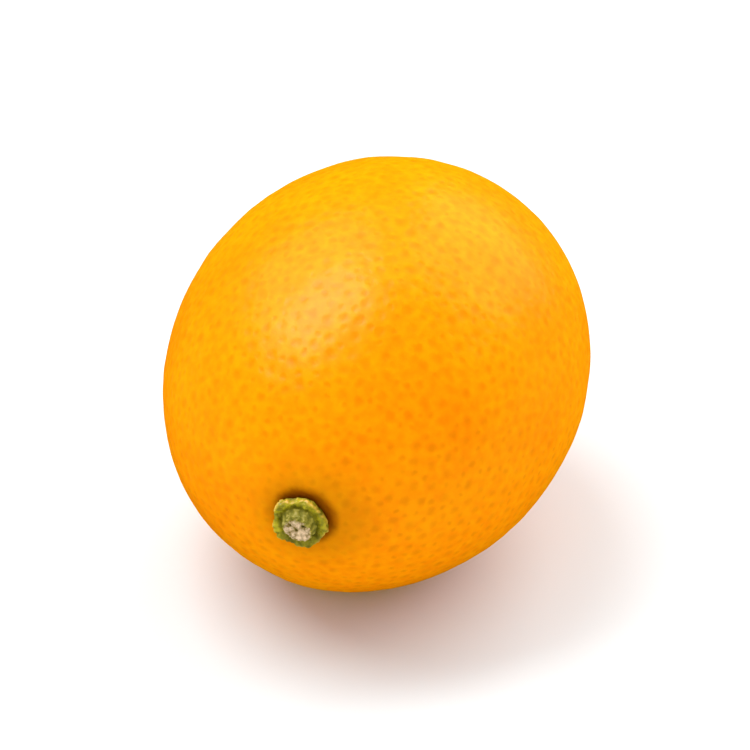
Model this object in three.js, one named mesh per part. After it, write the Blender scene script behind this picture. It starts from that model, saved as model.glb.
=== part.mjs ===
// A picked kumquat lying on its side: the fruit, the green calyx at its stem end and the stub of its cut stem.
// Millimetres. The long axis runs along Y, the stem end points to -Y and +Z is up.
// The origin is on the surface that the fruit lies on, straight under its middle.

import * as THREE from 'three';
import { mergeVertices } from 'three/addons/utils/BufferGeometryUtils.js';

const { smoothstep, lerp, clamp, degToRad } = THREE.MathUtils;

// The fruit is an ellipsoid with blunt ends, a slimmer stem half and a slightly oval section.
const LENGTH = 35; // the ellipsoid, stem end to blossom end
const WIDTH = 30.8; // across the middle, the wide way
const THICKNESS = 29.2; // across the middle, the narrow way
const ROLL = degToRad(30); // how far the wide way is rolled up from level
const EGG_SHAPE = 0.028; // share by which the stem half is slimmer and the blossom half fuller
const BLUNTNESS = 0.03; // share by which both ends are fuller than an ellipsoid's
const REST_SINK = 0.32; // how far the lowest skin is pressed flat where the fruit lies

// The skin swells round the calyx and dips under it, and the blossom end has a small pit.
// A relief's height is on the long axis, and falls to half of that at its reach.
const STEM_COLLAR = { height: 0.45, reach: 3.8 };
const STEM_DIMPLE = { height: -0.9, reach: 2 };
const BLOSSOM_PIT = { height: -0.15, reach: 0.8 };
const SEAT_RADIUS = 0.9; // the dimple's floor is flat there, and carries the calyx

// The calyx is a thick little plate with five blunt lobes. It stands on a foot, and its lobes clear the skin.
const CALYX_RADIUS = 1.88;
const CALYX_HEIGHT = 1; // seat to the flat crown that carries the stem
const CROWN_RADIUS = 1.25;
const FOOT_RADIUS = 0.5;
const LOBES = 5;
const LOBE_DEPTH = 0.045; // share of the radius
const CALYX_STRETCH = 0.02; // share by which the calyx is longer one way than the other
const RIM_THICKNESS = 0.5;
const RIM_CLEARANCE = 0.2; // between the lobes and the skin

// The stem is cut off just above the calyx. Its cut face is slightly dished.
const STUB_HEIGHT = 0.75;
const STUB_FOOT_RADIUS = 1.2;
const STUB_RADIUS = 1.04;
const STUB_BEVEL = 0.12;
const CUT_DISH = 0.1;

// Mesh fineness
const FRUIT_MESH = { sectors: 72, rings: 42 };
const CALYX_MESH = { sectors: 60, rings: 16 };
const STUB_SECTORS = 36;
const RING_CROWDING = 0.5; // how strongly the fruit's rings close up towards its ends

const SEAT_HEIGHT = LENGTH / 2 + STEM_COLLAR.height + STEM_DIMPLE.height; // from the fruit's middle
const LOWEST = Math.hypot((WIDTH / 2) * Math.sin(ROLL), (THICKNESS / 2) * Math.cos(ROLL));
const MIDDLE_HEIGHT = LOWEST - REST_SINK; // the fruit's middle above the surface that it lies on

/** The height of a swelling or dip at a distance from the long axis. */
function relief({ height, reach }, distance) {
  return height / (1 + (distance / reach) ** 4);
}

/** What the swelling and the dip add to the stem end at a distance from the long axis. */
function stemRelief(distance) {
  return relief(STEM_COLLAR, distance) + relief(STEM_DIMPLE, distance);
}

/** A unit sphere's closed mesh with each point moved to place(polar, angle): polar is 0 at the stem end. */
function closedSurface({ sectors, rings }, place) {
  const sphere = new THREE.SphereGeometry(1, sectors, rings);
  sphere.deleteAttribute('normal');
  sphere.deleteAttribute('uv');
  const geometry = mergeVertices(sphere);
  const points = geometry.getAttribute('position');
  for (let i = 0; i < points.count; i++) {
    const polar = Math.acos(clamp(-points.getY(i), -1, 1));
    const angle = Math.atan2(points.getZ(i), points.getX(i));
    points.setXYZ(i, ...place(polar, angle));
  }
  geometry.computeVertexNormals();
  return geometry;
}

/** The fruit's skin, about its middle. */
function fruitPoint(evenPolar, angle) {
  const polar = evenPolar - (RING_CROWDING * Math.sin(2 * evenPolar)) / 2;
  const along = Math.cos(polar); // 1 at the stem end, -1 at the blossom end
  const girth = Math.sin(polar) * (1 - EGG_SHAPE * along + BLUNTNESS * along ** 2);
  const wide = (WIDTH / 2) * girth * Math.cos(angle);
  const narrow = (THICKNESS / 2) * girth * Math.sin(angle);
  const x = wide * Math.cos(ROLL) - narrow * Math.sin(ROLL);
  const z = wide * Math.sin(ROLL) + narrow * Math.cos(ROLL);
  const distance = Math.hypot(x, z);
  const atStemEnd = along > 0;
  const endRelief = atStemEnd ? stemRelief(distance) : relief(BLOSSOM_PIT, distance);
  const onSeat = atStemEnd && distance < SEAT_RADIUS;
  const y = onSeat ? -SEAT_HEIGHT : -along * (LENGTH / 2 + endRelief);
  return [x, y, Math.max(z, -MIDDLE_HEIGHT)];
}

/** How far the stem end's skin rises above the calyx's seat at a distance from the long axis. */
function skinRise(distance) {
  if (distance < SEAT_RADIUS) return 0;
  const meanRadius = (WIDTH + THICKNESS) / 4;
  const along = Math.sqrt(1 - (distance / meanRadius) ** 2);
  return Math.max(along * (LENGTH / 2 + stemRelief(distance)) - SEAT_HEIGHT, 0);
}

/** The calyx, about the middle of its seat: a flat crown, a rim wall and an underside that clears the skin. */
function calyxPoint(polar, angle) {
  const rimBand = Math.PI / CALYX_MESH.rings; // the rim wall is the ring on each side of the equator
  const outline =
    CALYX_RADIUS * (1 + LOBE_DEPTH * Math.cos(LOBES * angle) + CALYX_STRETCH * Math.cos(2 * angle + 1));
  const distance = outline * Math.min(1, Math.sin(polar) / Math.cos(rimBand));
  const underside = skinRise(distance) + RIM_CLEARANCE * smoothstep(distance, FOOT_RADIUS, SEAT_RADIUS);
  const rimTop = skinRise(outline) + RIM_CLEARANCE + RIM_THICKNESS;
  const top = lerp(CALYX_HEIGHT, rimTop, smoothstep(distance, CROWN_RADIUS, outline));
  const towardsTop = clamp(0.5 + Math.cos(polar) / (2 * Math.sin(rimBand)), 0, 1);
  return [distance * Math.cos(angle), -lerp(underside, top, towardsTop), distance * Math.sin(angle)];
}

/** The cut stem, turned about the long axis from the middle of its foot. */
function stubGeometry() {
  const outline = [
    [0, CUT_DISH - STUB_HEIGHT],
    [STUB_RADIUS - 2 * STUB_BEVEL, -STUB_HEIGHT],
    [STUB_RADIUS - STUB_BEVEL / 2, STUB_BEVEL / 2 - STUB_HEIGHT],
    [STUB_RADIUS, 2 * STUB_BEVEL - STUB_HEIGHT],
    [STUB_RADIUS, -STUB_BEVEL],
    [STUB_FOOT_RADIUS, 0],
    [0, 0],
  ];
  return new THREE.LatheGeometry(outline.map(([radius, y]) => new THREE.Vector2(radius, y)), STUB_SECTORS);
}

/** A named mesh with its own finish. */
function piece(name, geometry, color, roughness) {
  const mesh = new THREE.Mesh(geometry, new THREE.MeshStandardMaterial({ color, roughness, metalness: 0 }));
  mesh.name = name;
  return mesh;
}

const fruit = piece('fruit', closedSurface(FRUIT_MESH, fruitPoint), 0xff9c12, 0.35);
const calyx = piece('calyx', closedSurface(CALYX_MESH, calyxPoint), 0x9c9a2a, 0.65);
const stemStub = piece('stem_stub', stubGeometry(), 0xb79a68, 0.8);
stemStub.position.y = -CALYX_HEIGHT;

const stemEnd = new THREE.Group();
stemEnd.position.y = -SEAT_HEIGHT;
stemEnd.add(calyx, stemStub);

const kumquat = new THREE.Group();
kumquat.position.z = MIDDLE_HEIGHT;
kumquat.add(fruit, stemEnd);

export default kumquat;
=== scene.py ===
"""A picked kumquat lying on a pale studio floor: dimpled rind, green calyx and the stub of its cut stem.

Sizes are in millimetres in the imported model's frame, and meshes and materials get them in metres. The long
axis runs along Y, the stem end points to -Y, the blossom end to +Y, and +Z is up from the floor.
"""

from __future__ import annotations

import logging
import math
from dataclasses import dataclass, field
from enum import Enum
from typing import Any, Sequence

import bpy
import numpy as np
from mathutils import Matrix, Vector
from mathutils.kdtree import KDTree


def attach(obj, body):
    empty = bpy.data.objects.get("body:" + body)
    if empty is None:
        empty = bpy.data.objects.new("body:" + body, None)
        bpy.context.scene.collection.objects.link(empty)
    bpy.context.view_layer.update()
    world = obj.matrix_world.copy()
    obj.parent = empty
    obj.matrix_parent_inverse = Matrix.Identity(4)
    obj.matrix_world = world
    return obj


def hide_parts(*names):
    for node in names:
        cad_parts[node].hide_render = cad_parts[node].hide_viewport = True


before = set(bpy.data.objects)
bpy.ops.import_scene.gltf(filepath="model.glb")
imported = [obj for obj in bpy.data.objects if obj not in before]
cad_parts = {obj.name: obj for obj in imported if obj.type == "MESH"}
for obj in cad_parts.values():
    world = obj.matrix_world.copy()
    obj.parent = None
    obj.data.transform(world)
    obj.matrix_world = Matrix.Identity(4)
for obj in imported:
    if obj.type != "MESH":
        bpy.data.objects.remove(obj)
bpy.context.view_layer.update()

LOG = logging.getLogger("kumquat")
Array = np.ndarray
Socket = bpy.types.NodeSocket
Key = int | str  # a node socket's number or name
Layer = tuple[Socket, Socket | str]  # how much of what is under it a colour covers, and that colour
Tree = bpy.types.NodeTree
Material = bpy.types.Material
Object = bpy.types.Object
Pair = tuple[float, float]  # most often where something starts and where it ends
Ripple = tuple[float, int, float]  # a wave round the axis: its height, how many there are and their phase

MM = 0.001  # a millimetre, in the scene's metres
ROOT_BODY = "root"
TURN = 2 * math.pi

MIX_FACTOR, MIX_A, MIX_B, MIX_RESULT = 0, 6, 7, 2  # the mix node's sockets for colours
BUMP = {"Strength": 1.0, "Distance": 1.0}  # a bump node whose height is in metres
NOISE_CORE = {"From Min": 0.38, "From Max": 0.62}  # the span that most of a noise's values lie in


class FruitEnd(Enum):
    """The two ends of the fruit, with the way each points along Y."""

    STEM = -1.0
    BLOSSOM = 1.0


class Domain(Enum):
    """What part of a mesh an attribute's numbers belong to."""

    POINT = "POINT"
    FACE = "FACE"


# --------------------------- Small tools ----------------------------


def linear(hex_colour: str) -> tuple[float, float, float, float]:
    """Turns an sRGB hex colour into linear light.

    Args:
        hex_colour: six hex digits after a hash sign.

    Returns:
        Linear red, green, blue, and an alpha of 1.
    """
    shares = [int(hex_colour[i : i + 2], 16) / 255 for i in (1, 3, 5)]
    red, green, blue = (s / 12.92 if s <= 0.04045 else ((s + 0.055) / 1.055) ** 2.4 for s in shares)
    return red, green, blue, 1.0


def smoothstep(low: float, high: float, value: Array) -> Array:
    """Rises from 0 at low to 1 at high along 3t^2 - 2t^3, and is flat outside them."""
    t = np.clip((value - low) / (high - low), 0.0, 1.0)
    return t * t * (3 - 2 * t)


def bell(value: Array, width: float) -> Array:
    """exp(-(value / width)^2): 1 where the value is 0, falling to both sides."""
    return np.exp(-((value / width) ** 2))


def half_wave(phase: Array) -> Array:
    """(1 + cos(phase)) / 2: 1 at phase 0, and 0 half a turn from it."""
    return 0.5 + 0.5 * np.cos(phase)


def ripples(angle: Array, terms: Sequence[Ripple]) -> Array:
    """Sums height cos(count angle + phase) over the terms."""
    return sum(height * np.cos(count * angle + phase) for height, count, phase in terms)


def unit(vectors: Array) -> Array:
    """Scales vectors, which lie along the last axis, to length 1."""
    return vectors / np.maximum(np.linalg.norm(vectors, axis=-1, keepdims=True), 1e-9)


@dataclass(frozen=True)
class Waves:
    """Smooth seeded unevenness: a sum of plane sine waves in random directions."""

    wavelength: float  # middle wavelength in mm; each wave's own is within a third of it
    count: int  # how many are summed
    seed: int  # fixes the random draw

    def at(self, points: Array) -> Array:
        """Sums sin(2 pi d.p / wavelength + phase) over the waves, scaled to a standard deviation of 1.

        Args:
            points: places in mm, with x, y, z along the last axis.

        Returns:
            One number for each place.
        """
        draw = np.random.default_rng(self.seed)
        directions = unit(draw.normal(size=(self.count, 3)))
        lengths = self.wavelength * draw.uniform(2 / 3, 4 / 3, self.count)
        phases = draw.uniform(0, TURN, self.count)
        total = np.zeros(points.shape[:-1])
        for direction, length, phase in zip(directions, lengths, phases):
            total += np.sin(TURN * (points @ direction) / length + phase)
        return total * math.sqrt(2 / self.count)


def build_mesh(name: str, points: Array, faces: Sequence[Sequence[int]]) -> Object:
    """Makes a smooth-shaded object at the origin from points in mm.

    Args:
        name: the object's name.
        points: one row of x, y, z in mm for each vertex.
        faces: vertex numbers of each face, anticlockwise seen from outside.

    Returns:
        The object, linked to the scene.
    """
    mesh = bpy.data.meshes.new(name)
    mesh.from_pydata((points * MM).tolist(), [], faces)
    mesh.shade_smooth()
    mesh.update()
    piece = bpy.data.objects.new(name, mesh)
    bpy.context.scene.collection.objects.link(piece)
    return piece


def set_attribute(piece: Object, name: str, values: Array, domain: Domain) -> None:
    """Stores a number or a vector for each vertex or face, for the piece's material to read.

    Args:
        piece: the mesh object.
        name: the attribute's name.
        values: one number for each vertex or face, or one row of three.
        domain: which of the two.
    """
    is_vector = values.ndim == 2
    attribute = piece.data.attributes.new(name, "FLOAT_VECTOR" if is_vector else "FLOAT", domain.value)
    attribute.data.foreach_set("vector" if is_vector else "value", values.astype(np.float32).ravel())


def build_turned(
    name: str, rows: Array, top: Array, foot: Array, shares: dict[str, tuple[Array, float]]
) -> Object:
    """Makes a closed piece from rings round the axis, with a point and a fan of triangles at each end.

    Args:
        name: the piece's name.
        rows: places in mm about the foot's middle, shaped rings, points in a ring, 3. A ring's last point
            joins its first.
        top: the place that closes the first ring. The foot's middle closes the last one.
        foot: where the foot's middle stands.
        shares: for each attribute's name, its numbers on the rings and its number at the top.

    Returns:
        The piece, with its attributes, which are 0 at the foot's middle.
    """
    ring_count, around = rows.shape[:2]
    here = np.arange(ring_count * around).reshape(ring_count, around)
    beside = np.roll(here, -1, axis=1)
    quads = np.stack([here[:-1], here[1:], beside[1:], beside[:-1]], axis=-1).reshape(-1, 4)
    top_fan = np.stack([np.full(around, here.size), here[0], beside[0]], axis=-1)
    foot_fan = np.stack([np.full(around, here.size + 1), beside[-1], here[-1]], axis=-1)
    points = np.vstack([rows.reshape(-1, 3), top, np.zeros(3)]) + foot
    piece = build_mesh(name, points, quads.tolist() + top_fan.tolist() + foot_fan.tolist())
    for attribute, (values, at_top) in shares.items():
        set_attribute(piece, attribute, np.append(values.ravel(), [at_top, 0.0]), Domain.POINT)
    return piece


def smooth_profile(knots: Sequence[tuple[Any, Any]], angle: Array, steps: int) -> tuple[Array, Array]:
    """Draws a Catmull-Rom curve through a profile's knots, for every angle round the axis at once.

    Between knots b and c, with neighbours a and d, the curve at t is
    (2b + (c - a)t + (2a - 5b + 4c - d)t^2 + (3b - a - 3c + d)t^3) / 2.

    Args:
        knots: each knot's distance from the axis and height, either one number or one for each angle.
        angle: the angles.
        steps: points from one knot to the next.

    Returns:
        The curve's distances from the axis and its heights, each shaped points, angles.
    """
    knots = np.stack([np.stack(np.broadcast_arrays(*knot, angle)[:2]) for knot in knots])
    padded = np.concatenate([2 * knots[:1] - knots[1:2], knots, 2 * knots[-1:] - knots[-2:-1]])
    a, b, c, d = (k[:, None] for k in (padded[:-3], padded[1:-2], padded[2:-1], padded[3:]))
    t = (np.arange(steps) / steps)[None, :, None, None]
    curve = (2 * b + (c - a) * t + (2 * a - 5 * b + 4 * c - d) * t**2 + (3 * b - a - 3 * c + d) * t**3) / 2
    curve = np.concatenate([curve.reshape(-1, *knots.shape[1:]), knots[-1:]])
    return curve[:, 0], curve[:, 1]


def lifted_along_normals(rows: Array, amount: Array) -> Array:
    """Moves a grid's points along its normals: its differences down and round the rings, crossed.

    Args:
        rows: places in mm, shaped rings, points in a ring, 3.
        amount: how far each point moves outwards, in mm.

    Returns:
        The moved places.
    """
    down = np.gradient(rows, axis=0)
    around = np.roll(rows, -1, axis=1) - np.roll(rows, 1, axis=1)
    return rows + unit(np.cross(down, around)) * amount[..., None]


def add(tree: Tree, kind: str, inputs: dict[Key, Any], result: Key = 0, **settings: Any) -> Socket | None:
    """Adds a shader node.

    Args:
        tree: the node tree that gets it.
        kind: the node's type, without "ShaderNode".
        inputs: for each input socket's name or number, a constant or the output socket that feeds it.
        result: the wanted output socket's name or number.
        **settings: the node's own properties.

    Returns:
        That output socket, if the node has outputs.
    """
    node = tree.nodes.new("ShaderNode" + kind)
    for name, value in settings.items():
        setattr(node, name, value)
    for socket, value in inputs.items():
        if isinstance(value, Socket):
            tree.links.new(value, node.inputs[socket])
        else:
            node.inputs[socket].default_value = value
    return node.outputs[result] if node.outputs else None


def new_material(name: str) -> tuple[Material, Tree, Socket]:
    """Makes a material with nothing but a source of Object coordinates in its node tree.

    Args:
        name: the material's name.

    Returns:
        The material, its tree, and the output socket of the coordinates.
    """
    material = bpy.data.materials.new(name)
    material.use_nodes = True
    tree = material.node_tree
    tree.nodes.clear()
    return material, tree, add(tree, "TexCoord", {}, "Object")


def paint(tree: Tree, base: str, layers: Sequence[Layer], skin: dict[str, Any]) -> None:
    """Lays colours over one another and makes them the colour of the material's shader.

    Args:
        tree: the material's node tree.
        base: the lowest colour, in hex.
        layers: the colours over it, in hex or from a socket.
        skin: the shader's other inputs.
    """
    colour = linear(base)
    for share, over in layers:
        mix = {MIX_FACTOR: share, MIX_A: colour, MIX_B: over if isinstance(over, Socket) else linear(over)}
        colour = add(tree, "Mix", mix, MIX_RESULT, data_type="RGBA")
    shader = add(tree, "BsdfPrincipled", {"Base Color": colour, **skin})
    add(tree, "OutputMaterial", {"Surface": shader})


def dress(piece: Object, material: Material, node: str) -> None:
    """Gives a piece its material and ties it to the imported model.

    Args:
        piece: the finished piece.
        material: its only material.
        node: the CAD node that it stands for.
    """
    piece.data.materials.append(material)
    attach(piece, ROOT_BODY)
    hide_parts(node)


# ---------------------------- The fruit -----------------------------


@dataclass(frozen=True)
class Relief:
    """A round swelling or dip on the long axis."""

    height: float  # on the axis, below 0 for a dip
    reach: float  # distance from the axis at which it has fallen to half

    def at(self, distance: Array) -> Array:
        """height / (1 + (distance / reach)^4) at a distance from the axis."""
        return self.height / (1 + (distance / self.reach) ** 4)


@dataclass(frozen=True)
class FruitForm:
    """The fruit's plain shape: an ellipsoid with blunt ends, a slimmer stem half and an oval section."""

    length: float = 35.0  # the ellipsoid, stem end to blossom end
    width: float = 30.8  # across the middle, the wide way
    thickness: float = 29.2  # across the middle, the narrow way
    roll: float = math.radians(30)  # how far the wide way is rolled up from level
    egg_shape: float = 0.028  # share by which the stem half is slimmer and the blossom half fuller
    bluntness: float = 0.03  # share by which both ends are fuller than an ellipsoid's
    rest_sink: float = 0.32  # how far the lowest skin is pressed flat where the fruit lies
    collar: Relief = Relief(0.45, 3.8)  # the swelling round the calyx
    dimple: Relief = Relief(-0.9, 2.0)  # the dip under the calyx
    pit: Relief = Relief(-0.15, 0.8)  # the dip at the blossom end
    seat_radius: float = 0.9  # the dimple's floor is flat there, and carries the calyx

    @property
    def seat_height(self) -> float:
        """The calyx's seat, along the axis from the fruit's middle."""
        return self.length / 2 + self.collar.height + self.dimple.height

    @property
    def middle(self) -> Array:
        """The fruit's middle, over the origin."""
        wide, narrow = self.width / 2 * math.sin(self.roll), self.thickness / 2 * math.cos(self.roll)
        return np.array([0.0, 0.0, math.hypot(wide, narrow) - self.rest_sink])

    def rolled(self, wide: Array, narrow: Array) -> tuple[Array, Array]:
        """Turns places along the wide and the narrow way into x and z."""
        cos, sin = math.cos(self.roll), math.sin(self.roll)
        return wide * cos - narrow * sin, wide * sin + narrow * cos

    def stem_relief(self, distance: Array) -> Array:
        """What the swelling and the dip add to the stem end at a distance from the axis."""
        return self.collar.at(distance) + self.dimple.at(distance)

    def skin(self, directions: Array) -> Array:
        """Maps the unit sphere to the fruit's skin, about the fruit's middle.

        A direction's y is the share of the half length, and its x and z are the shares of the half width
        and half thickness. Both of those grow by 1 - egg along + bluntness along^2, with along = -y, and are
        turned by the roll. The ends' reliefs then move the skin along the axis.

        Args:
            directions: unit vectors, one in a row.

        Returns:
            Places in mm.
        """
        along = -directions[:, 1]
        fullness = 1 - self.egg_shape * along + self.bluntness * along**2
        wide = self.width / 2 * directions[:, 0] * fullness
        narrow = self.thickness / 2 * directions[:, 2] * fullness
        x, z = self.rolled(wide, narrow)
        distance = np.hypot(x, z)
        at_stem = along > 0
        relief = np.where(at_stem, self.stem_relief(distance), self.pit.at(distance))
        y = -along * (self.length / 2 + relief)
        y = np.where(at_stem & (distance < self.seat_radius), -self.seat_height, y)
        return np.stack([x, y, z], axis=-1)

    def outward(self, directions: Array) -> Array:
        """The ellipsoid's outward normal for each direction of the unit sphere."""
        x, z = self.rolled(directions[:, 0] / (self.width / 2), directions[:, 2] / (self.thickness / 2))
        return unit(np.stack([x, directions[:, 1] / (self.length / 2), z], axis=-1))

    def rise(self, distance: Array) -> Array:
        """How far the stem end's skin rises above the calyx's seat, taken as turned about the axis.

        Args:
            distance: from the axis.

        Returns:
            The rise, which is 0 over the seat.
        """
        mean_radius = (self.width + self.thickness) / 4
        along = np.sqrt(np.clip(1 - (distance / mean_radius) ** 2, 0, 1))
        height = along * (self.length / 2 + self.stem_relief(distance)) - self.seat_height
        return np.where(distance < self.seat_radius, 0.0, np.maximum(height, 0.0))

    def placed(self, points: Array) -> Array:
        """Lifts places about the fruit's middle to where it lies, with the lowest skin pressed flat."""
        x, y, z = (points + self.middle).T
        return np.stack([x, y, np.maximum(z, 0.0)], axis=-1)


def sphere_patches(steps: int) -> tuple[Array, Array]:
    """Covers the unit sphere with six square grids, joined at their edges.

    A grid's point (u, v), each from -1 to 1, looks along (tan(pi u / 4), tan(pi v / 4), 1) in its own side's
    axes, so that the squares are nearly the same size all over.

    Args:
        steps: squares along each side of a grid.

    Returns:
        Unit directions, one in a row, and the squares' four vertex numbers.
    """
    spread = np.tan(np.linspace(-math.pi / 4, math.pi / 4, steps + 1))
    u, v = np.meshgrid(spread, spread, indexing="ij")
    here = np.arange(u.size).reshape(u.shape)
    corners = np.stack([here[:-1, :-1], here[1:, :-1], here[1:, 1:], here[:-1, 1:]], axis=-1).reshape(-1, 4)
    axes = np.eye(3)
    sides, squares = [], []
    for axis in range(3):
        for sign in (1, -1):
            first, second = axes[(axis + 1) % 3], axes[(axis + 2) % 3]
            if sign < 0:
                first, second = second, first
            squares.append(corners + len(sides) * u.size)
            sides.append(u[..., None] * first + v[..., None] * second + sign * axes[axis])
    directions = unit(np.concatenate([side.reshape(-1, 3) for side in sides]))
    _, kept, merged = np.unique(np.round(directions, 7), axis=0, return_index=True, return_inverse=True)
    return directions[kept], merged.reshape(-1)[np.concatenate(squares)]


def crowded(directions: Array, reach: float = 0.15) -> Array:
    """Draws the directions near +Y closer to it, for fine detail at the blossom end.

    An angle t from +Y becomes t (1 - exp(-(t / reach)^2) / 2).

    Args:
        directions: unit vectors, one in a row.
        reach: how far from +Y the crowding is felt, in radians.

    Returns:
        Unit vectors.
    """
    angle = np.arccos(np.clip(directions[:, 1], -1, 1))
    closer = angle * (1 - bell(angle, reach) / 2)
    shrink = np.sin(closer) / np.maximum(np.sin(angle), 1e-9)
    return np.stack([directions[:, 0] * shrink, np.cos(closer), directions[:, 2] * shrink], axis=-1)


@dataclass
class OilGlands:
    """The rind's oil glands: soft round dots, large ones spread evenly with small ones between them."""

    large_gap: float = 1.16  # least distance between two large glands, centre to centre
    small_gap: float = 0.76  # least distance from a small gland to any other
    large_radius: Pair = (0.36, 0.48)  # least and greatest
    small_radius: Pair = (0.22, 0.32)
    bare_stem: float = 2.0  # radius round the axis that holds none at the stem end
    bare_blossom: float = 0.75  # the same at the blossom end
    tries: int = 60000  # random places that are tried in turn
    seed: int = 11
    places: Array = field(init=False)
    radii: Array = field(init=False)
    tones: Array = field(init=False)  # 0 for the faintest dot, 1 for the deepest

    def scatter(self, form: FruitForm) -> None:
        """Spreads the glands over the fruit's skin, none closer than its gap allows.

        Args:
            form: the fruit.
        """
        draw = np.random.default_rng(self.seed)
        directions = unit(draw.normal(size=(self.tries, 3)))
        candidates = form.skin(directions)
        distance = np.hypot(candidates[:, 0], candidates[:, 2])
        bare = np.where(directions[:, 1] < 0, self.bare_stem, self.bare_blossom)
        candidates = candidates[distance > bare]
        tree = KDTree(len(candidates))
        for number, place in enumerate(candidates):
            tree.insert(place, number)
        tree.balance()
        large = self._pick(tree, candidates, self.large_gap, np.ones(len(candidates), bool))
        free = np.ones(len(candidates), bool)
        for number in large:
            free[[found[1] for found in tree.find_range(candidates[number], self.small_gap)]] = False
        small = self._pick(tree, candidates, self.small_gap, free)
        self.places = candidates[large + small]
        large_radii = draw.uniform(*self.large_radius, len(large))
        self.radii = np.append(large_radii, draw.uniform(*self.small_radius, len(small)))
        self.tones = draw.uniform(0, 1, len(self.places))
        LOG.info("glands: %d large, %d small", len(large), len(small))

    @staticmethod
    def _pick(tree: KDTree, candidates: Array, gap: float, free: Array) -> list[int]:
        """Takes free candidates in turn and rules out those within the gap of each.

        Args:
            tree: finds candidates by place.
            candidates: their places.
            gap: the least distance between two that are taken.
            free: which may be taken.

        Returns:
            The numbers of those taken.
        """
        taken = []
        for number in range(len(candidates)):
            if free[number]:
                taken.append(number)
                free[[found[1] for found in tree.find_range(candidates[number], gap)]] = False
        return taken

    def nearest(self, points: Array, block: int = 4096) -> tuple[Array, Array]:
        """Finds each point's gland: the one whose distance is the smallest share of its radius.

        Distances come from |p|^2 + |g|^2 - 2 p.g, a block of points at a time.

        Args:
            points: places in mm about the fruit's middle.
            block: points worked on at once.

        Returns:
            The gland's number, and the distance as a share of its radius.
        """
        glands = self.places.astype(np.float32)
        gland_squares = (glands**2).sum(1)
        weight = (1 / self.radii**2).astype(np.float32)
        numbers = np.empty(len(points), int)
        for start in range(0, len(points), block):
            part = points[start : start + block].astype(np.float32)
            squares = (part**2).sum(1)[:, None] + gland_squares - 2 * part @ glands.T
            numbers[start : start + block] = (squares * weight).argmin(1)
        return numbers, np.linalg.norm(points - self.places[numbers], axis=1) / self.radii[numbers]


@dataclass(frozen=True)
class EndTint:
    """A round tint of the skin at one end of the fruit."""

    end: FruitEnd
    colour: str
    strength: float  # at its middle
    inner: float  # radius up to which it is at full strength
    outer: float  # radius at which it has faded out
    offset: Pair = (0.0, 0.0)  # of its middle from the axis, along X and Z


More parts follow.
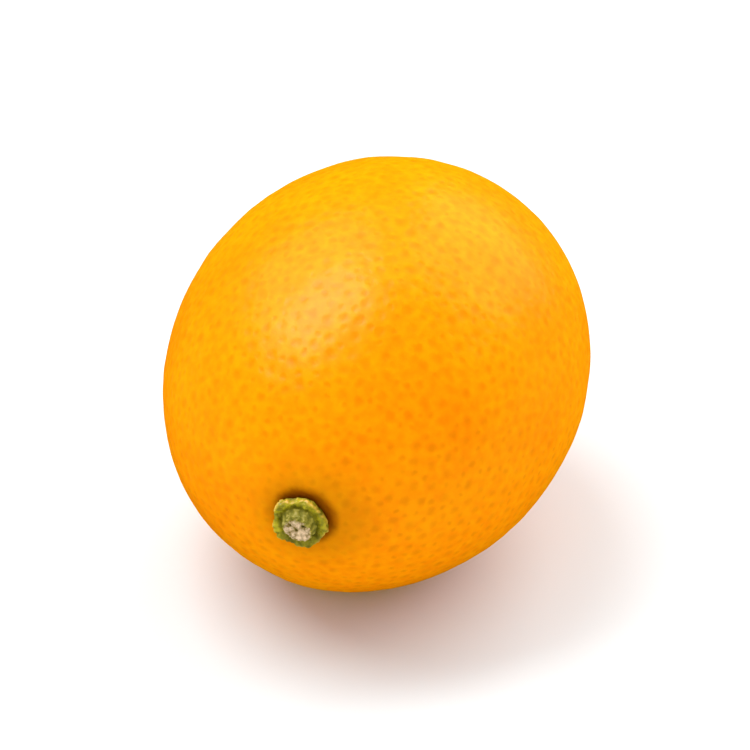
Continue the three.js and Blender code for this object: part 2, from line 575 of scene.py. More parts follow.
@dataclass(frozen=True)
class RindFinish:
    """Ripe citrus rind: a waxy, faintly see-through skin over oil glands.

    The wax gives a soft, broad highlight, the glands read as deeper orange dots that dip a little, and light
    that enters the skin comes out again near by, which keeps the shaded side warm.
    """

    zest: str = "#FF9803"  # the lightest orange, between the glands
    deep: str = "#F88401"  # the deeper orange of broad patches
    gland: str = "#DC7200"  # over a gland
    tints: tuple[EndTint, ...] = (
        EndTint(FruitEnd.STEM, "#B07E02", 0.46, 2.0, 6.2, (0.48, 0.384)),  # green tinge round the calyx
        EndTint(FruitEnd.STEM, "#763004", 0.80, 1.75, 2.70, (0.30, 0.24)),  # painted shade of the crevice under the calyx's edge, offset to one side, over some real browning of the peel
        EndTint(FruitEnd.BLOSSOM, "#FFA63A", 0.45, 0.45, 1.10),  # pale skin round the scar
        EndTint(FruitEnd.BLOSSOM, "#6A3311", 1.00, 0.24, 0.46),  # dry scar where the flower's style fell off
        EndTint(FruitEnd.BLOSSOM, "#241004", 0.90, 0.02, 0.26),  # the scar's darker middle
    )
    patch_size: float = 9.0  # of the broad patches
    patch_share: float = 0.8  # their weight, beside a mottling of weight 1
    mottle_size: float = 0.65
    blend: Pair = (0.66, 1.14)  # weighed sums of both that give zest and deep
    dot_edge: Pair = (0.15, 1.30)  # shares of a gland's radius between which its dot fades
    dot_strength: Pair = (0.24, 0.57)  # of the faintest and the deepest dot
    ragged_size: float = 0.45  # size of the noise that makes the dots a little uneven
    ragged_push: float = 0.30  # how far that noise pushes a dot's edge about
    gland_dip: float = 0.014  # depth of a gland's dip in the bump
    grain_size: float = 0.22
    grain: float = 0.007  # height of the fine grain
    roughness: float = 0.45  # of the skin itself
    roughness_spread: float = 0.06  # by which the mottling changes it either way
    specular: float = 0.04  # the porous skin mirrors nearly nothing, where 0.5 is a smooth surface
    wax: float = 0.21  # share of the skin that shines through its patchy coat of wax
    wax_roughness: float = 0.27
    wax_ior: float = 1.5
    scatter: float = 0.35  # share of the light that enters the skin and comes out again
    scatter_depth: float = 1.1  # how far red light spreads in the skin
    scatter_colours: tuple[float, float, float] = (1.0, 0.4, 0.12)  # spread of red, green and blue light

    def material(self, form: FruitForm) -> Material:
        """Builds the rind's material.

        Args:
            form: gives the height of the axis that the tints lie round.

        Returns:
            The material.
        """
        material, tree, place = new_material("waxed_citrus_rind")
        ragged, patches, mottle, grain = (
            add(tree, "TexNoise", {"Vector": place, "Scale": 1 / (size * MM), "Detail": detail}, output)
            for size, detail, output in (
                (self.ragged_size, 1.0, "Color"),
                (self.patch_size, 2.0, "Fac"),
                (self.mottle_size, 3.0, "Fac"),
                (self.grain_size, 2.0, "Fac"),
            )
        )
        push = add(tree, "VectorMath", {0: ragged, 1: (0.5, 0.5, 0.5)}, operation="SUBTRACT")
        push = add(tree, "VectorMath", {0: push, "Scale": self.ragged_push * MM}, operation="SCALE")
        pushed = add(tree, "VectorMath", {0: place, 1: push}, operation="ADD")

        # Broad patches and fine mottling between the two oranges
        weighed = add(tree, "Math", {0: patches, 1: self.patch_share}, operation="MULTIPLY")
        both = add(tree, "Math", {0: weighed, 1: mottle}, operation="ADD")
        all_zest, all_deep = self.blend
        blend = add(tree, "MapRange", {"Value": both, "From Min": all_zest, "From Max": all_deep})
        layers = [(blend, self.deep)]

        # Dots round the glands, each with its own strength
        gland = add(tree, "Attribute", {}, "Vector", attribute_name="gland_place")
        radius = add(tree, "Attribute", {}, "Fac", attribute_name="gland_radius")
        tone = add(tree, "Attribute", {}, "Fac", attribute_name="gland_tone")
        away = add(tree, "VectorMath", {0: pushed, 1: gland}, "Value", operation="DISTANCE")
        share = add(tree, "Math", {0: away, 1: radius}, operation="DIVIDE")
        inner, outer = self.dot_edge
        fade = {"Value": share, "From Min": inner, "From Max": outer, "To Min": 1.0, "To Max": 0.0}
        dot = add(tree, "MapRange", fade, interpolation_type="SMOOTHSTEP")
        faintest, deepest = self.dot_strength
        strength = add(tree, "MapRange", {"Value": tone, "To Min": faintest, "To Max": deepest})
        layers.append((add(tree, "Math", {0: dot, 1: strength}, operation="MULTIPLY"), self.gland))

        # Tints by the distance from the long axis, each at its own end
        along = add(tree, "SeparateXYZ", {0: place}, "Y")
        for tint in self.tints:
            x, z = tint.offset
            middle = (form.middle + (x, 0.0, z)) * MM
            about = add(tree, "VectorMath", {0: pushed, 1: middle}, operation="SUBTRACT")
            flat = add(tree, "VectorMath", {0: about, 1: (1.0, 0.0, 1.0)}, operation="MULTIPLY")
            away = add(tree, "VectorMath", {0: flat}, "Value", operation="LENGTH")
            fade = {"Value": away, "From Min": tint.inner * MM, "From Max": tint.outer * MM}
            fade |= {"To Min": tint.strength, "To Max": 0.0}
            near = add(tree, "MapRange", fade, interpolation_type="SMOOTHSTEP")
            towards = add(tree, "Math", {0: along, 1: tint.end.value}, operation="MULTIPLY")
            at_end = add(tree, "Math", {0: towards, 1: 0.0}, operation="GREATER_THAN")
            layers.append((add(tree, "Math", {0: near, 1: at_end}, operation="MULTIPLY"), tint.colour))

        # Dips over the glands and a fine grain, as heights in metres
        dips = add(tree, "Math", {0: dot, 1: -self.gland_dip * MM}, operation="MULTIPLY")
        grains = add(tree, "Math", {0: grain, 1: self.grain * MM}, operation="MULTIPLY")
        height = add(tree, "Math", {0: dips, 1: grains}, operation="ADD")
        bump = add(tree, "Bump", BUMP | {"Height": height})
        least, most = self.roughness - self.roughness_spread, self.roughness + self.roughness_spread
        skin = {
            "Roughness": add(tree, "MapRange", {"Value": mottle, "To Min": least, "To Max": most}),
            "Normal": bump,
            "Specular IOR Level": self.specular,
            "Coat Weight": self.wax,
            "Coat Roughness": self.wax_roughness,
            "Coat IOR": self.wax_ior,
            "Coat Normal": bump,
            "Subsurface Weight": self.scatter,
            "Subsurface Radius": self.scatter_colours,
            "Subsurface Scale": self.scatter_depth * MM,
        }
        paint(tree, self.zest, layers, skin)
        return material


@dataclass
class Fruit:
    """The fruit's rind as one closed surface."""

    form: FruitForm
    glands: OilGlands = field(default_factory=OilGlands)
    finish: RindFinish = RindFinish()
    steps: int = 128  # squares along each side of the six grids
    gland_dip: float = 0.023  # depth of the largest gland's dip in the mesh
    swells: tuple[tuple[float, Waves], ...] = (
        (0.026, Waves(11.0, 28, 100)),
        (0.012, Waves(4.5, 28, 101)),
        (0.006, Waves(1.9, 28, 102)),
    )  # the skin's unevenness, each with its height
    drawn_in: float = 0.05  # how far all is drawn in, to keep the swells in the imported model's box
    seat_edge: Pair = (0.9, 2.2)  # distances from the calyx's axis over which relief sets in
    puckers: int = 9  # creases that run out from the calyx
    pucker_bend: float = 1.2  # how unevenly they are spread
    pucker_start: Pair = (1.6, 2.6)  # distances from the axis over which they set in
    pucker_height: float = 0.035
    pucker_reach: float = 4.2  # distance from the axis over which they fade
    scar_rim: float = 0.05  # height of the ring round the blossom end's scar
    scar_ripples: tuple[Ripple, ...] = ((0.3, 2, 0.5), (0.2, 5, 1.0))  # that ring's unevenness
    scar_radius: float = 0.40  # of that ring
    scar_rim_width: float = 0.14
    scar_dip: float = 0.13  # depth of the scar inside it
    scar_dip_width: float = 0.22

    def surface(self) -> tuple[Array, Array]:
        """Works out the skin: the plain shape moved along its normal by swells, puckers and gland dips.

        A swell is its height times random waves. A gland dips by (1 - share^2)^2 of its depth, where share
        is the distance from its centre over its radius. Puckers are waves round the axis that fade with the
        distance from it. The scar's ring and its dip are bell curves of that distance.

        Returns:
            The points about the fruit's middle, and the squares' vertex numbers.
        """
        directions, squares = sphere_patches(self.steps)
        directions = crowded(directions)
        plain = self.form.skin(directions)
        lift = np.full(len(plain), -self.drawn_in)
        for height, waves in self.swells:
            lift += height * waves.at(plain)
        distance = np.hypot(plain[:, 0], plain[:, 2])
        angle = np.arctan2(plain[:, 2], plain[:, 0])
        at_stem = directions[:, 1] < 0
        creases = np.cos(self.puckers * angle + self.pucker_bend * np.sin(2 * angle))
        creases *= smoothstep(*self.pucker_start, distance)
        creases *= self.pucker_height * bell(distance, self.pucker_reach)
        scar = self.scar_rim * (1 + ripples(angle, self.scar_ripples))
        scar *= bell(distance - self.scar_radius, self.scar_rim_width)
        scar -= self.scar_dip * bell(distance, self.scar_dip_width)
        lift += np.where(at_stem, creases, scar)
        numbers, shares = self.glands.nearest(plain)
        depth = self.gland_dip * self.glands.radii[numbers] / self.glands.large_radius[1]
        lift -= depth * np.clip(1 - shares**2, 0, 1) ** 2
        lift *= np.where(at_stem, smoothstep(*self.seat_edge, distance), 1.0)
        return plain + self.form.outward(directions) * lift[:, None], squares

    def build(self) -> Object:
        """Makes the rind's mesh with each face's gland, and dresses it.

        Returns:
            The rind.
        """
        self.glands.scatter(self.form)
        points, squares = self.surface()
        piece = build_mesh("rind", self.form.placed(points), squares.tolist())
        numbers, _ = self.glands.nearest(points[squares].mean(axis=1))
        places = self.glands.places[numbers] + self.form.middle
        set_attribute(piece, "gland_place", places * MM, Domain.FACE)
        set_attribute(piece, "gland_radius", self.glands.radii[numbers] * MM, Domain.FACE)
        set_attribute(piece, "gland_tone", self.glands.tones[numbers], Domain.FACE)
        dress(piece, self.finish.material(self.form), "fruit")
        return piece


# -------------------- The calyx and the cut stem --------------------


@dataclass(frozen=True)
class CalyxFinish:
    """Drying green sepals, matt and slightly warty, with pale yellow edges; painted shade darkens clefts,
    groove, underside and one side.

    The matt green catches no highlight, and the pale edges outline the little star against the rind.
    """

    green: str = "#B8AA28"  # the middle of a sepal
    olive: str = "#7A721E"  # its darker patches
    edge: str = "#DAB054"  # its dry rim
    painted_shade: str = "#5C551A"  # painted shade: the colour laid in the notches, the groove round the stem, under the disc and on its shaded side
    roughness: float = 0.62
    blotch_size: float = 0.5
    wart_size: float = 0.12
    wart_height: float = 0.02
    scatter: float = 0.15  # share of the light that enters the sepals and comes out again
    scatter_depth: float = 0.3  # how far light spreads in them
    scatter_colours: tuple[float, float, float] = (0.5, 0.6, 0.2)  # spread of red, green and blue light

    def material(self) -> Material:
        """Builds the calyx's material.

        Returns:
            The material.
        """
        material, tree, place = new_material("drying_green_sepal")
        blotches, warts = (
            add(tree, "TexNoise", {"Vector": place, "Scale": 1 / (size * MM), "Detail": detail}, "Fac")
            for size, detail in ((self.blotch_size, 4.0), (self.wart_size, 2.0))
        )
        patches = add(tree, "MapRange", NOISE_CORE | {"Value": blotches})
        edge = add(tree, "Attribute", {}, "Fac", attribute_name="sepal_edge")
        # How much painted shade each point gets, as a darker green
        painted_shade = add(tree, "Attribute", {}, "Fac", attribute_name="sepal_shade")
        height = add(tree, "Math", {0: warts, 1: self.wart_height * MM}, operation="MULTIPLY")
        skin = {
            "Roughness": self.roughness,
            "Normal": add(tree, "Bump", BUMP | {"Height": height}),
            "Subsurface Weight": self.scatter,
            "Subsurface Radius": self.scatter_colours,
            "Subsurface Scale": self.scatter_depth * MM,
        }
        paint(tree, self.olive, ((patches, self.green), (edge, self.edge), (painted_shade, self.painted_shade)), skin)
        return material


@dataclass
class Calyx:
    """The calyx: five short sepals grown into one thick disc round the stem."""

    form: FruitForm
    finish: CalyxFinish = CalyxFinish()
    radius: float = 1.88  # middle radius of the outline
    height: float = 1.0  # seat to the flat crown that carries the stem
    crown_radius: float = 1.22
    lobes: int = 5
    lobe_depth: float = 0.036  # share of the radius by which a sepal's tip stands out
    # The rest of the outline's unevenness, as shares of the radius: a stretch one way and fine ripples
    uneven: tuple[Ripple, ...] = ((0.02, 2, 1.0), (0.011, 11, 0.7), (0.008, 17, 2.1), (0.004, 29, 0.0))
    bulge: float = 0.15  # share by which it reaches further out on one side
    bulge_side: float = math.radians(250)
    tilts: tuple[Ripple, ...] = ((0.06, 1, -1.1), (0.05, 3, 0.4))  # how unevenly its top stands
    lobe_lift: float = 0.06  # how much higher a sepal's middle stands than the clefts
    heel: float = 0.20  # how much higher the rim stands on one side
    heel_side: float = math.radians(205)
    cleft_width: float = math.sqrt(0.02)  # of the bell curve between two sepals
    cleft_dip: float = 0.035
    rib_width: float = math.sqrt(0.05)  # of the bell curve along a sepal's middle
    rib_height: float = 0.04
    wrinkles: int = 31
    wrinkle_bend: float = 2.0  # how unevenly they are spread
    wrinkle_height: float = 0.018
    lumps: Waves = Waves(0.42, 30, 7)  # all over its top
    lump_height: float = 0.030
    fine_lumps: Waves = Waves(0.17, 30, 8)
    fine_lump_height: float = 0.010
    top_start: Pair = (0.02, 0.2)  # distances past the crown over which all this sets in
    top_heights: Pair = (0.35, 0.6)  # heights over which it sets in
    rim_start: Pair = (-0.16, -0.01)  # distances past the outline over which its rim dries
    dryness: Pair = (0.25, 0.50)  # of that rim, on the whole and with its lumps
    groove_shade_end: Pair = (0.04, 0.36)  # distances past the crown over which the groove's painted shade ends
    under_shade_end: Pair = (0.3, 0.75)  # heights over which the painted shade under the disc ends
    shade_strengths: tuple[float, float, float] = (0.60, 0.25, 0.45)  # strengths of the painted shade in the groove, in the clefts and on the shaded side
    # The side where the painted shade of one side is deepest
    shaded_side: float = math.radians(290)
    clearance: float = 0.14  # between the sepals' undersides and the skin
    around: int = 240  # points round the disc
    steps: int = 6  # points from one knot of the profile to the next

    def surface(self) -> tuple[Array, Array, Array]:
        """Works out the disc as a profile carried round the axis.

        The profile runs from the crown down a groove, over the sepal's hump, round its rim and back under it
        to the foot. The outline is the radius times 1 + lobe depth cos(lobes a) + ripples
        + bulge half_wave(a - bulge side)^4. Each sepal has a rib along its middle and a cleft on each side.

        Returns:
            The rings of points about the middle of the seat, how dry each point is, and how much painted
            shade it gets.
        """
        angle = np.linspace(0, TURN, self.around, endpoint=False)
        reach = ripples(angle, ((self.lobe_depth, self.lobes, 0.0), *self.uneven))
        outline = self.radius * (1 + reach + self.bulge * half_wave(angle - self.bulge_side) ** 4)
        middle_of_lobe = half_wave(self.lobes * angle)
        heel = self.heel * half_wave(angle - self.heel_side)
        lift = ripples(angle, self.tilts) + self.lobe_lift * middle_of_lobe + heel
        under = self.form.rise(outline - 0.1) + self.clearance + heel
        shape = (
            (0.15, self.height),
            (0.9, self.height),
            (self.crown_radius, self.height - 0.02),
            (self.crown_radius + 0.12, 0.82 + 0.5 * lift),
            ((outline + self.crown_radius) / 2 + 0.04, 0.87 + lift),
            (outline - 0.13, 0.90 + lift),
            (outline, 0.80 + lift),
            (outline - 0.01, (under + 0.80 + lift) / 2),
            (outline - 0.09, under),
            (outline - 0.45, self.form.rise(outline - 0.45) + self.clearance + 0.7 * heel),
            (0.85, 0.10),
            (0.5, 0.0),
            (0.12, 0.0),
        )  # distance from the axis and height above the seat
        distance, height = smooth_profile(shape, angle, self.steps)
        rows = np.stack([distance * np.cos(angle), -height, distance * np.sin(angle)], axis=-1)
        past_crown = distance - self.crown_radius
        on_top = smoothstep(*self.top_start, past_crown) * smoothstep(*self.top_heights, height)
        between = bell(middle_of_lobe, self.cleft_width)
        amount = self.rib_height * bell(1 - middle_of_lobe, self.rib_width) - self.cleft_dip * between
        wrinkles = np.cos(self.wrinkles * angle + self.wrinkle_bend * np.sin(3 * angle))
        lumps = self.lumps.at(rows)
        amount = amount + self.wrinkle_height * wrinkles + self.lump_height * lumps
        amount = on_top * (amount + self.fine_lump_height * self.fine_lumps.at(rows))
        evenly, with_lumps = self.dryness
        rim = on_top * smoothstep(*self.rim_start, distance - outline)
        dry = np.clip(rim * (evenly + with_lumps * lumps), 0, 1)
        # Painted shade: darker in the groove round the crown, in the clefts, on one side and under the disc
        shade_in_groove, shade_in_cleft, shade_on_side = self.shade_strengths
        dark = shade_in_groove * (1 - smoothstep(*self.groove_shade_end, past_crown))
        side_shade = shade_on_side * half_wave(angle - self.shaded_side) ** 2
        dark = dark + on_top * (shade_in_cleft * between + side_shade) + 1 - smoothstep(*self.under_shade_end, height)
        return lifted_along_normals(rows, amount), dry, np.clip(dark, 0, 1)

    def build(self) -> Object:
        """Makes the calyx's mesh on its seat, and dresses it.

        Returns:
            The calyx.
        """
        rows, dry, dark = self.surface()
        crown = np.array([0.0, -self.height, 0.0])
        seat = self.form.middle - (0.0, self.form.seat_height, 0.0)
        shares = {"sepal_edge": (dry, 0.0), "sepal_shade": (dark, 0.0)}
        piece = build_turned("calyx_sepals", rows, crown, seat, shares)
        dress(piece, self.finish.material(), "calyx")
        return piece


@dataclass(frozen=True)
class StemFinish:
    """A cut fruit stalk: green ribbed bark round a pale, fibrous, drying end grain.

    The rough cut face reads pale and dry against the green, with dark pores where the vessels were.
    """

    bark: str = "#706A28"  # the flank between ribs
    rib: str = "#A3944E"  # the ribs' crests
    wood: str = "#E4C49A"  # the pale cut face
    grain: str = "#88704F"  # its darker fibres
    pore: str = "#3E3018"  # the open vessels
    roughness: float = 0.75
    fibre_size: float = 0.34
    fibre_height: float = 0.03

    def material(self) -> Material:
        """Builds the cut stem's material.

        Returns:
            The material.
        """
        material, tree, place = new_material("cut_green_stalk")
        cut, pore, rib = (
            add(tree, "Attribute", {}, "Fac", attribute_name=name)
            for name in ("cut_face", "vessel_pore", "bark_rib")
        )
        noise = {"Vector": place, "Scale": 1 / (self.fibre_size * MM), "Detail": 4.0}
        fibres = add(tree, "TexNoise", noise, "Fac")
        contrast = add(tree, "MapRange", NOISE_CORE | {"Value": fibres})
        wood = {MIX_FACTOR: contrast, MIX_A: linear(self.grain), MIX_B: linear(self.wood)}
        wood = add(tree, "Mix", wood, MIX_RESULT, data_type="RGBA")
        height = add(tree, "Math", {0: fibres, 1: self.fibre_height * MM}, operation="MULTIPLY")
        bump = add(tree, "Bump", BUMP | {"Height": height})
        skin = {"Roughness": self.roughness, "Normal": bump}
        paint(tree, self.bark, ((rib, self.rib), (cut, wood), (pore, self.pore)), skin)
        return material


@dataclass
class StemStub:
    """The stub of the cut fruit stalk."""

    calyx: Calyx
    finish: StemFinish = StemFinish()
    height: float = 0.75  # calyx crown to the cut, at most
    radius: float = 1.04  # of the cut end
    foot_radius: float = 1.2  # where it flares into the calyx
    oval: tuple[Ripple, ...] = ((0.03, 2, 0.5), (0.025, 3, 2.0), (0.012, 7, 0.0))  # shares of the radius
    slant: Ripple = (0.05, 1, 0.8)  # of the cut
    ribs: int = 11  # up its flank
    rib_bend: float = 0.8  # how unevenly they are spread
    rib_height: float = 0.07
    rib_tint: Pair = (0.8, 0.3)  # how pale a crest is, on the whole and with its roughness
    rough: Waves = Waves(0.30, 30, 21)  # its coarse unevenness
    fibrous: Waves = Waves(0.13, 30, 22)  # and its fine one
    cut_relief: Pair = (0.030, 0.012)  # heights of both on the cut
    bark_relief: Pair = (0.015, 0.006)  # and on the flank
    pores: tuple[tuple[float, float, float, float], ...] = (
        (-0.03, -0.27, 0.13, 0.17),
        (0.44, 0.16, 0.17, 0.13),
        (-0.46, 0.10, 0.08, 0.06),
    )  # place along X and Z, radius and depth of each open vessel
    pore_start: Pair = (-0.06, 0.06)  # distances in from the edge over which pores set in
    pore_tint: float = 1.2  # how dark they are, where 1 is dark in the very middle alone
    lean: Pair = (0.08, -0.10)  # how far the cut lies off the axis, along X and Z
    # Knots of the profile over which the cut turns to bark, and over which the ribs set in and end
    cut_end: Pair = (3.4, 4.8)
    rib_start: Pair = (4.6, 6.0)
    rib_end: Pair = (7.6, 8.4)
    ragged: float = 0.35  # how many knots the roughness moves the edge of the cut
    shaded_cut_reach: float = 2.3  # how many knots the bark's colour reaches in over the cut face at most, as painted shade on that side of the face
    shaded_cut_side: float = math.radians(85)  # the side of the cut face that this painted shade covers
    around: int = 200  # points round the stub
    steps: int = 7  # points from one knot of the profile to the next

    def surface(self) -> tuple[Array, Array, Array, Array]:
        """Works out the stub as a profile carried round the axis.

        The profile runs from the middle of the dished cut over its edge, down the flank, out along the flare
        and back under the foot. The flank has ribs, the cut is rough, and each pore is a bell-shaped dip.

        Returns:
            The rings of points about the middle of the foot, and how much of cut, pore and rib each one has.
        """
        angle = np.linspace(0, TURN, self.around, endpoint=False)
        edge = self.radius * (1 + ripples(angle, self.oval))
        slant = ripples(angle, (self.slant,))
        top = self.height - 0.10  # the slant and the roughness of the cut rise above it
        shape = (
            (0.06, top - 0.10, 0.0),
            (0.30, top - 0.09, 0.3),
            (0.62, top - 0.06, 0.8),
            (0.86, top - 0.02, 1.0),
            (0.97, top - 0.03, 1.0),
            (1.00, top - 0.14, 1.0),
            (0.99, 0.40, 0.3),
            (1.02, 0.16, 0.1),
            (self.foot_radius / self.radius, 0.0, 0.0),
            (1.00, 0.0, 0.0),
            (0.06, 0.0, 0.0),
        )  # share of the edge's distance from the axis, height and share of the slant
        knots = [(edge * share, at + part * slant) for share, at, part in shape]
        distance, height = smooth_profile(knots, angle, self.steps)
        x, z = (lean * height / self.height for lean in self.lean)
        rows = np.stack([distance * np.cos(angle) + x, -height, distance * np.sin(angle) + z], axis=-1)
        rough = self.rough.at(rows)
        fibrous = self.fibrous.at(rows)
        knot = np.arange(len(rows))[:, None] / self.steps  # which of the profile's knots a ring is at
        # Painted shade: on one side the pale cut face takes the bark's darker colour
        bark = self.shaded_cut_reach * half_wave(angle - self.shaded_cut_side) ** 2
        cut = 1 - smoothstep(*self.cut_end, knot + self.ragged * rough + bark)
        flank = smoothstep(*self.rib_start, knot) * (1 - smoothstep(*self.rib_end, knot))
        crest = half_wave(self.ribs * angle + self.rib_bend * np.sin(2 * angle))
        pore = np.zeros_like(distance)
        dips = np.zeros_like(distance)
        for x, z, radius, depth in self.pores:
            hollow = bell(np.hypot(rows[..., 0] - x, rows[..., 2] - z), radius)
            pore = np.maximum(pore, hollow)
            dips += depth * hollow
        inside = cut * smoothstep(*self.pore_start, edge - distance)
        coarse, fine = self.cut_relief
        amount = (1 - flank) * (coarse * rough + fine * fibrous) - inside * dips
        coarse, fine = self.bark_relief
        amount += flank * (self.rib_height * crest + coarse * rough + fine * fibrous)
        evenly, with_roughness = self.rib_tint
        rib = np.clip(crest * (evenly + with_roughness * rough), 0, 1)
        return lifted_along_normals(rows, amount), cut, np.clip(self.pore_tint * pore * inside, 0, 1), rib

    def build(self) -> Object:
        """Makes the stub's mesh on the calyx's crown, and dresses it.

        Returns:
            The stub.
        """
        rows, cut, pore, rib = self.surface()
        form = self.calyx.form
        foot = form.middle - (0.0, form.seat_height + self.calyx.height, 0.0)
        shares = {"cut_face": (cut, 1.0), "vessel_pore": (pore, 0.0), "bark_rib": (rib, 0.0)}
        piece = build_turned("stem_cut", rows, rows[0].mean(axis=0), foot, shares)
        dress(piece, self.finish.material(), "stem_stub")
        return piece


# ---------------------------- The studio ----------------------------


@dataclass(frozen=True)
class FloorFinish:
    """Matt white paper: no highlight, and just enough mottling not to be one flat tone.

    The paper is painted lighter away from the fruit, as painted light making up for the lights' fall-off, so
    that it meets the surroundings unseen.
    Its faint blue keeps the shadow of an orange fruit neutral.
    """

    paper: str = "#DCE3E5"
    shade: str = "#D8DFE1"  # of its faint mottling
    painted_lit_paper: str = "#FEFEFE"  # painted light: the paper beyond the lights' reach, made lighter to make up for their fall-off
    near: float = 90.0  # distance from the fruit at which the painted light starts
    far: float = 420.0  # distance at which it has the far colour
    mottle_size: float = 25.0

    def material(self) -> Material:
        """Builds the floor's material.

        Returns:
            The material.
        """
        material, tree, place = new_material("matt_white_paper")
        noise = {"Vector": place, "Scale": 1 / (self.mottle_size * MM), "Detail": 3.0}
        mottle = add(tree, "TexNoise", noise, "Fac")
        # Painted light: the paper turns lighter away from the fruit, making up for the lights' fall-off
        away = add(tree, "VectorMath", {0: place}, "Value", operation="LENGTH")
        reach = {"Value": away, "From Min": self.near * MM, "From Max": self.far * MM}
        painted_light_share = add(tree, "MapRange", reach, interpolation_type="SMOOTHSTEP")
        layers = ((mottle, self.shade), (painted_light_share, self.painted_lit_paper))
        paint(tree, self.paper, layers, {"Roughness": 1.0, "Specular IOR Level": 0.0})
        return material


def stand(item: Object, form: FruitForm, axes: tuple[Vector, Vector, Vector], distance: float) -> None:
    """Links a camera or a light to the scene and stands it off the fruit, looking at the fruit's middle.

    Args:
        item: the camera or light.
        form: the fruit.
        axes: its own right, up and backward directions.
        distance: from the fruit's middle.
    """
    bpy.context.scene.collection.objects.link(item)
    place = Vector(form.middle) + axes[2] * distance
    item.matrix_world = Matrix.Translation(place * MM) @ Matrix(axes).transposed().to_4x4()


@dataclass(frozen=True)
class Viewpoint:
    """Where the camera stands, looking at the fruit's middle."""

    azimuth: float = 17.0  # degrees round the fruit from the stem end, towards +X
    elevation: float = 36.6  # degrees above the floor
    distance: float = 400.0  # from the fruit's middle
    fruit_share: float = 0.57  # share of the picture's width that the fruit's width fills
    sensor: float = 36.0  # the camera's sensor width

    def axes(self) -> tuple[Vector, Vector, Vector]:
        """Works out which way the camera is turned.

        Returns:
            Its own right, up and backward directions.
        """
        around, above = math.radians(self.azimuth), math.radians(self.elevation)
        level = math.cos(above)
        back = Vector((math.sin(around) * level, -math.cos(around) * level, math.sin(above)))
        right = Vector((math.cos(around), math.sin(around), 0.0))
        return right, back.cross(right), back

    def build(self, form: FruitForm) -> None:
        """Makes the camera and hands it to the scene.

        Args:
            form: the fruit that it looks at.
        """
        data = bpy.data.cameras.new("camera")
        data.sensor_width = self.sensor
        data.lens = self.sensor * self.distance * self.fruit_share / form.width
        camera = bpy.data.objects.new("camera", data)
        stand(camera, form, self.axes(), self.distance)
        bpy.context.scene.camera = camera


@dataclass(frozen=True)
class Softbox:
    """A rectangular softbox that points at the fruit."""

    name: str
    towards: tuple[float, float, float]  # from the fruit, as shares of the camera's right, up and back
    distance: float  # from the fruit
    sides: Pair
    slant: float  # how far the first side is turned up from the picture's level, in degrees
    radiance: float  # how bright its face is, where 1 makes a white floor that fills the view white
    lights_matt: bool = True  # whether matt surfaces get its light too, and not only glossy ones

    def build(self, viewpoint: Viewpoint, form: FruitForm) -> None:
        """Makes the light. A face of area A with radiance L gives a power of pi L A.

        Args:
            viewpoint: gives the camera's axes.
            form: the fruit that it points at.
        """
        data = bpy.data.lights.new(self.name, "AREA")
        data.shape = "RECTANGLE"
        data.size, data.size_y = (side * MM for side in self.sides)
        data.energy = math.pi * self.radiance * data.size * data.size_y
        light = bpy.data.objects.new(self.name, data)
        light.visible_diffuse = self.lights_matt
        right, up, back = viewpoint.axes()
        share_right, share_up, share_back = self.towards
        direction = (right * share_right + up * share_up + back * share_back).normalized()
        slant = math.radians(self.slant)
        level = right * math.cos(slant) + up * math.sin(slant)
        across = direction.cross(level).normalized()
        stand(light, form, (across.cross(direction), across, direction), self.distance)


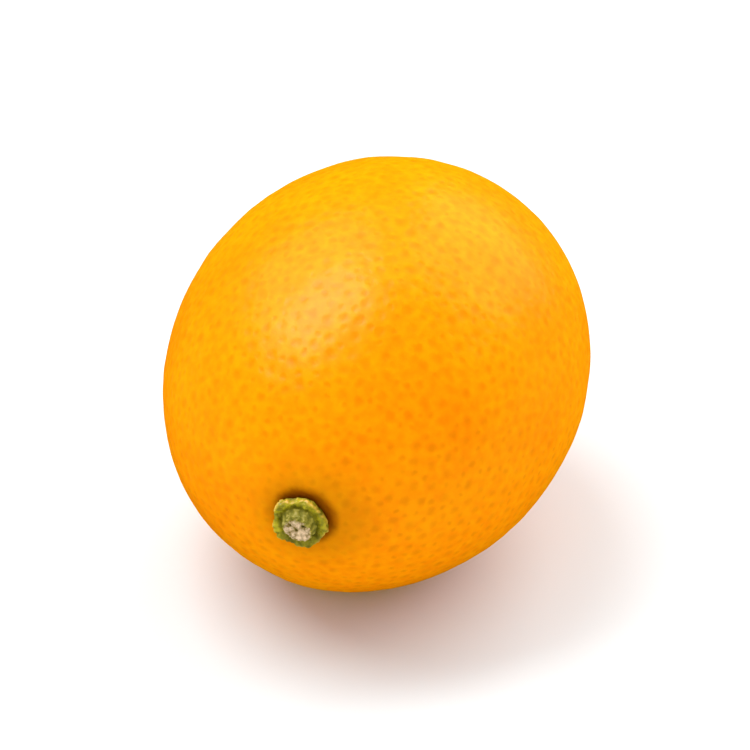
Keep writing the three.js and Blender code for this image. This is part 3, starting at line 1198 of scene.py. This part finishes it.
@dataclass
class Studio:
    """The floor, the lights, the pale surroundings and the camera."""

    viewpoint: Viewpoint = Viewpoint()
    # The second and third light glossy surfaces alone, for the highlight and the pale veil round it
    boxes: tuple[Softbox, ...] = (
        Softbox("key_softbox", (-0.42, 0.78, 0.46), 650.0, (520.0, 320.0), 48.0, 6.5),
        Softbox("gloss_softbox", (-0.42, 0.78, 0.46), 655.0, (520.0, 320.0), 48.0, 3.0, lights_matt=False),
        Softbox("sheen_panel", (-0.46, 0.84, 0.28), 640.0, (640.0, 780.0), 0.0, 2.8, lights_matt=False),
        Softbox("back_softbox", (0.60, 0.78, -0.10), 700.0, (700.0, 700.0), 0.0, 2.6),
    )
    surround: float = 0.90  # how bright the surroundings are
    # What the picture's faint blues become, which takes a veil of white off the deep orange
    blue_grade: tuple[Pair, ...] = (
        (0.017, 0.004), (0.045, 0.020), (0.08, 0.037), (0.11, 0.063),
        (0.15, 0.118), (0.22, 0.21), (0.50, 0.50),
    )
    floor_side: float = 6000.0
    floor_drop: float = 0.02  # how far the floor lies under the fruit, so that the two faces don't coincide
    finish: FloorFinish = FloorFinish()

    def build(self, form: FruitForm) -> None:
        """Builds the studio round the fruit.

        The floor and the surroundings are hidden from glossy rays, so that the wax mirrors the softboxes
        alone: white in its edges would veil the orange.

        Args:
            form: the fruit that it is built round.
        """
        half, low = self.floor_side / 2, -self.floor_drop
        corners = [[-half, -half, low], [half, -half, low], [half, half, low], [-half, half, low]]
        floor = build_mesh("floor", np.array(corners), [[0, 1, 2, 3]])
        floor.data.materials.append(self.finish.material())
        floor.visible_glossy = False
        for box in self.boxes:
            box.build(self.viewpoint, form)
        world = bpy.data.worlds.new("surroundings")
        world.use_nodes = True
        background = world.node_tree.nodes["Background"]
        background.inputs["Color"].default_value = (1.0, 1.0, 1.0, 1.0)
        background.inputs["Strength"].default_value = self.surround
        bpy.context.scene.world = world
        world.cycles_visibility.glossy = False
        view = bpy.context.scene.view_settings
        view.view_transform = "Standard"
        view.use_curve_mapping = True
        for before, after in self.blue_grade:
            view.curve_mapping.curves[2].points.new(before, after)
        view.curve_mapping.update()
        self.viewpoint.build(form)
        LOG.info("studio: %d softboxes, camera at %.0f mm", len(self.boxes), self.viewpoint.distance)


def main() -> None:
    """Builds the studio and the kumquat's pieces in order, and reports each piece."""
    logging.basicConfig(level=logging.INFO, format="%(name)s: %(message)s")
    form = FruitForm()
    calyx = Calyx(form)
    Studio().build(form)
    for part in (Fruit(form), calyx, StemStub(calyx)):
        piece = part.build()
        LOG.info("%s: %d faces", piece.name, len(piece.data.polygons))


if __name__ == "__main__":
    main()
